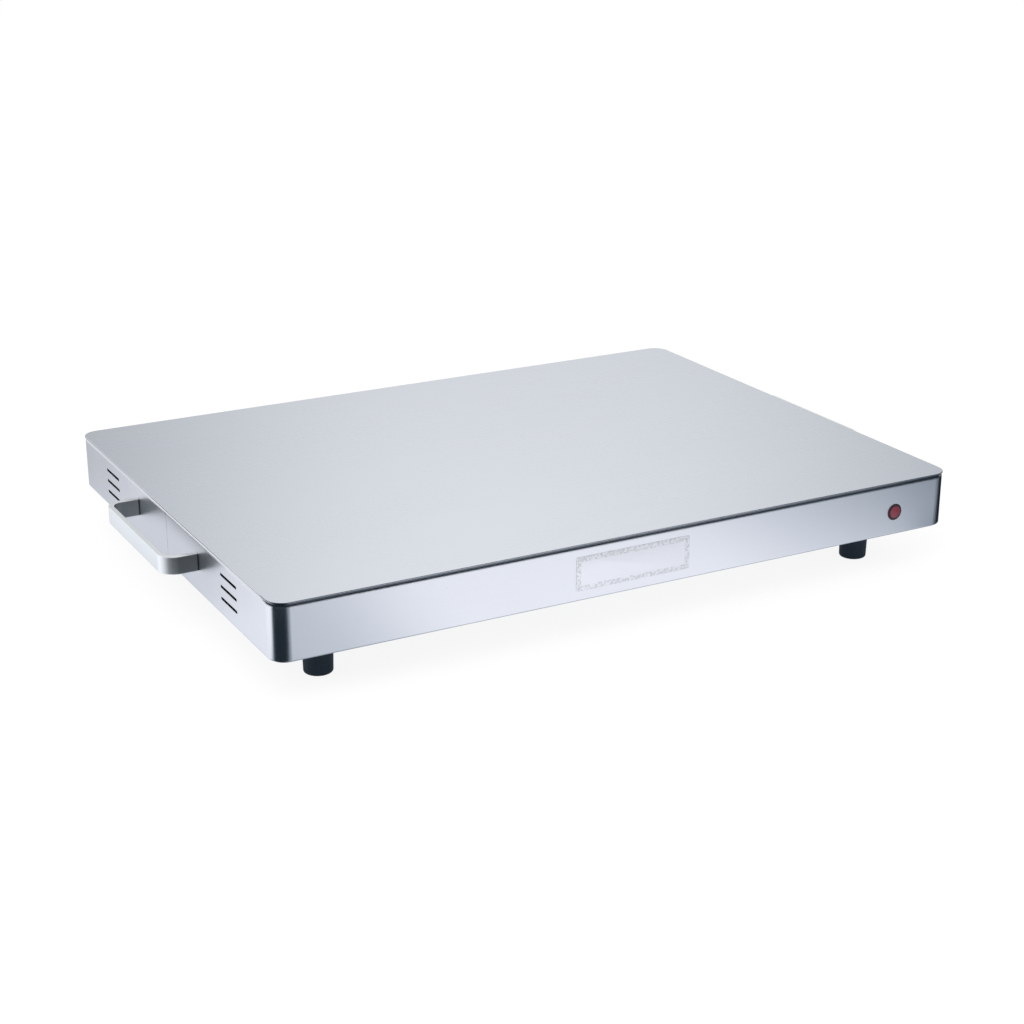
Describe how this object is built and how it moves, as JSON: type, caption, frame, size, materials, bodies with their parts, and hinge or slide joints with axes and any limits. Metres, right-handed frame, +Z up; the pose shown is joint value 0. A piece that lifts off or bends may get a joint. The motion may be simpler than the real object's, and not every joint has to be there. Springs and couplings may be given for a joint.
{
  "type": "electric food warmer tray",
  "caption": "Flat electric warming tray: brushed steel top plate on a folded skirt with end vents, D handles, round feet, a red lamp at the front and a rear appliance inlet.",
  "frame": {"origin": "middle of the footprint on the table, at the height of the feet's lower faces", "axes": "+X to the right along the long side, -Y towards the front face with the lamp, +Z up"},
  "size_m": [0.59, 0.4059, 0.0737],
  "materials": {
    "brushed_steel": "fine brushed satin",
    "handle_steel": "satin",
    "plated_steel": "bright zinc plate",
    "galvanised_sheet": "spangled galvanised sheet",
    "aluminised_sheet": "matt aluminised sheet",
    "aluminium": "mill finish",
    "element_sheath": "heat-darkened",
    "black_rubber": "matt moulded",
    "insulation": "pressed mineral millboard",
    "white_ceramic": "fired",
    "brown_phenolic": "moulded",
    "brass": "turned",
    "lamp_dark": "moulded",
    "lamp_red": "clear red",
    "neon_glass": "clear",
    "inlet_black": "moulded",
    "wire_brown": "silicone",
    "wire_blue": "silicone",
    "wire_green": "silicone",
    "wire_red": "silicone"
  },
  "bodies": {
    "root": {"top_plate": "brushed_steel", "front_skirt": "brushed_steel", "rear_skirt": "brushed_steel", "left_handle": "handle_steel", "right_handle": "handle_steel", "plate_studs": "plated_steel", "left_seam_strap": "plated_steel", "right_seam_strap": "plated_steel", "base_screws": "plated_steel", "foot_inserts": "plated_steel", "foot_screws": "plated_steel", "foot_nuts": "plated_steel", "element_pins": "plated_steel", "element_clamps": "plated_steel", "standoffs": "plated_steel", "shield_screws": "plated_steel", "thermostat_bracket": "plated_steel", "bracket_nuts": "plated_steel", "cutoff_clip": "plated_steel", "cutoff_rivet": "plated_steel", "clamp_screws": "plated_steel", "block_screws": "plated_steel", "earth_stud": "plated_steel", "earth_ring": "plated_steel", "earth_nut": "plated_steel", "lamp_nut": "plated_steel", "inlet_screws": "plated_steel", "inlet_nuts": "plated_steel", "inlet_pins": "plated_steel", "base_pan": "galvanised_sheet", "heat_shield": "aluminised_sheet", "heat_spreader": "aluminium", "heating_element": "element_sheath", "front_left_foot": "black_rubber", "front_right_foot": "black_rubber", "rear_left_foot": "black_rubber", "rear_right_foot": "black_rubber", "insulation_board": "insulation", "element_bushes": "white_ceramic", "terminal_block": "white_ceramic", "thermal_cutoff": "white_ceramic", "thermostat": "brown_phenolic", "block_inserts": "brass", "lamp_body": "lamp_dark", "lamp_lens": "lamp_red", "neon_bulb": "neon_glass", "inlet_housing": "inlet_black", "live_lead": "wire_brown", "feed_wire": "wire_brown", "link_wire": "wire_brown", "neutral_lead": "wire_blue", "element_neutral_wire": "wire_blue", "earth_lead": "wire_green", "thermostat_wire": "wire_red", "element_live_wire": "wire_red", "lamp_wires": "wire_red"}
  },
  "joints": []
}
